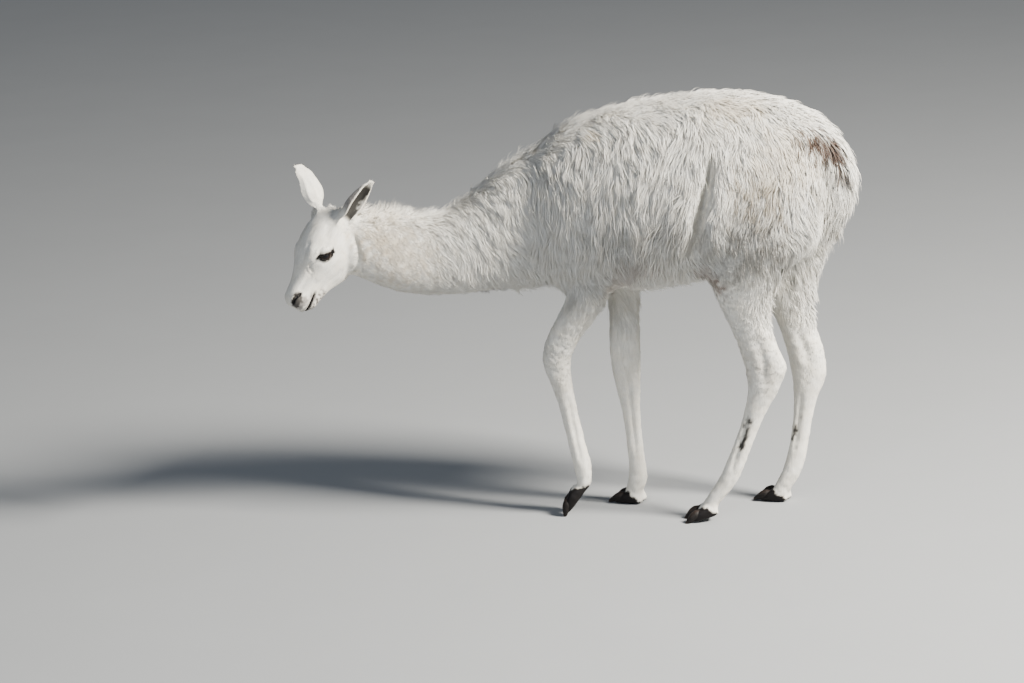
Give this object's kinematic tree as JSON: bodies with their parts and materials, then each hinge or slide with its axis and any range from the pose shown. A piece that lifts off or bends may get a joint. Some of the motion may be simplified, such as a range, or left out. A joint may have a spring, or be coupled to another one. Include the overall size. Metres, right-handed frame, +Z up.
{
  "type": "llama",
  "caption": "Standing white woolly llama in a walking stance, its neck stretched forward and its head lowered and turned to its left.",
  "frame": {"origin": "on the floor, under the middle of the whole animal's length and width", "axes": "-X ahead of the trunk, -Y the animal's left side, +Z up"},
  "size_m": [1.509, 0.5208, 1.1591],
  "materials": {
    "coat": "matte woolly hair, white",
    "face": "short smooth hair, white, with a dark muzzle",
    "ear": "short hair, white outside and grey inside",
    "tail": "long soft hair, white with brown patches",
    "eye": "wet black-brown",
    "nail": "dark brown horn"
  },
  "bodies": {
    "root": {"trunk": "coat", "neck": "coat", "head": "face", "ear_left": "ear", "ear_right": "ear", "eye_left": "eye", "eye_right": "eye", "tail": "tail", "leg_left_fore": "coat", "leg_right_fore": "coat", "leg_left_hind": "coat", "leg_right_hind": "coat", "nail_left_fore_inner": "nail", "nail_left_fore_outer": "nail", "nail_right_fore_inner": "nail", "nail_right_fore_outer": "nail", "nail_left_hind_inner": "nail", "nail_left_hind_outer": "nail", "nail_right_hind_inner": "nail", "nail_right_hind_outer": "nail"}
  },
  "joints": []
}
